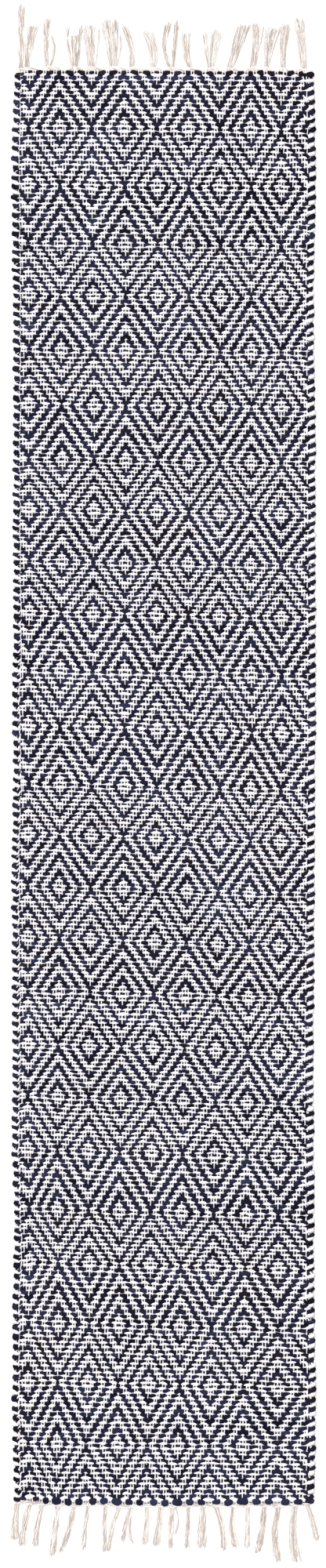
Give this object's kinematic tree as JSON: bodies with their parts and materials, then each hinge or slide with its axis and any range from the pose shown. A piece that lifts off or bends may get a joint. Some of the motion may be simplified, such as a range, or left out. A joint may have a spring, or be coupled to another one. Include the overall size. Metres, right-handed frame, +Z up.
{
  "type": "flat-woven cotton runner rug",
  "caption": "Long flat-woven runner rug in a navy and white diamond twill, lying flat, with a narrow cream heading and a loose fringe in locks at both ends.",
  "frame": {"origin": "middle of the whole rug's box, on the surface that the rug lies on", "axes": "+Z up, +Y along the rug's length towards the end with the longer fringe locks' fans (the picture's upper end), +X across its width"},
  "size_m": [0.7774, 3.92, 0.008],
  "materials": {
    "woven_cotton": "matt, soft navy and white cotton weft over a thin white warp",
    "cream_cotton": "matt, plied undyed cotton",
    "navy_cotton": "matt, soft dyed cotton weft",
    "white_cotton": "matt, soft bleached cotton weft and warp"
  },
  "bodies": {
    "root": {"woven_field": "woven_cotton", "fringe_top": "cream_cotton", "fringe_bottom": "cream_cotton"}
  },
  "joints": []
}
